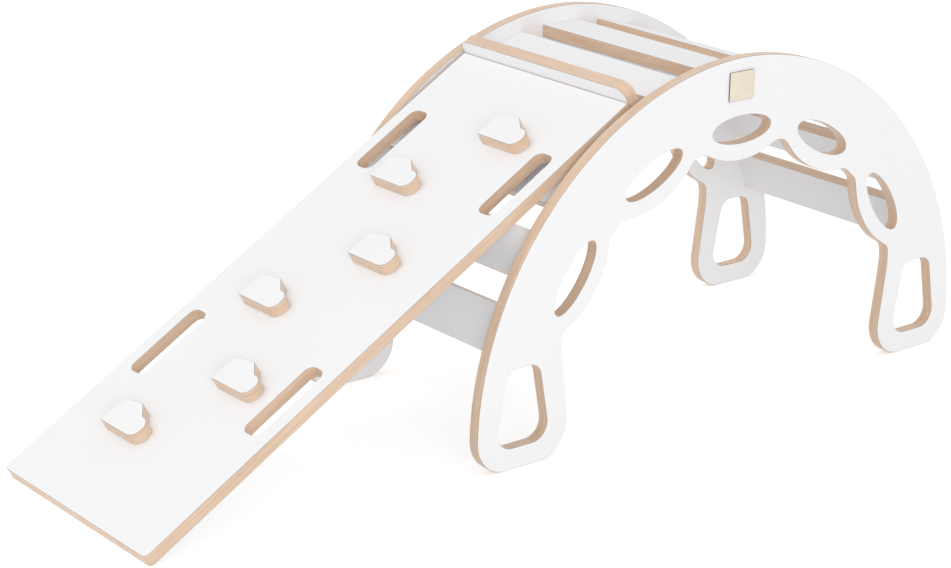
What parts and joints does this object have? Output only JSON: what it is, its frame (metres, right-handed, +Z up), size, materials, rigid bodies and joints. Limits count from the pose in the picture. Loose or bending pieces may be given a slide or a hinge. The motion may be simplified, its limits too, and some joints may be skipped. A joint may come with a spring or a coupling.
{
  "type": "wooden rocker arch",
  "caption": "Arched climbing frame of slats between two cut-out side panels, with a hold-covered ramp that hooks over a slat and lifts off.",
  "frame": {"origin": "middle of the floor under the whole set, ramp and arch together", "axes": "+X from the ramp's foot towards the arch, +Y away from the panel with the blank plate, +Z up"},
  "size_m": [1.4126, 0.409, 0.508],
  "materials": {
    "white_board": "white laminated birch or beech board, matt, with bare oiled edges",
    "bare_beech": "bare sanded beech",
    "zinc_steel": "zinc plated, countersunk"
  },
  "bodies": {
    "arch": {"front_panel": "white_board", "back_panel": "white_board", "slat_01": "white_board", "slat_02": "white_board", "slat_03": "white_board", "slat_04": "white_board", "slat_05": "white_board", "slat_06": "white_board", "slat_07": "white_board", "slat_08": "white_board", "slat_09": "white_board", "slat_10": "white_board", "slat_11": "white_board", "slat_dowels": "bare_beech", "blank_plate": "bare_beech"},
    "ramp": {"ramp_board": "white_board", "hook_board": "white_board", "hook_screws": "zinc_steel", "hold_1": "white_board", "hold_2": "white_board", "hold_3": "white_board", "hold_4": "white_board", "hold_5": "white_board", "hold_6": "white_board", "hold_screws": "zinc_steel"}
  },
  "joints": [
    {"name": "ramp_lift", "type": "slide", "parent": "arch", "child": "ramp", "axis": [-0.5075, 0, 0.8616], "range_m": [0, 0.12]}
  ]
}
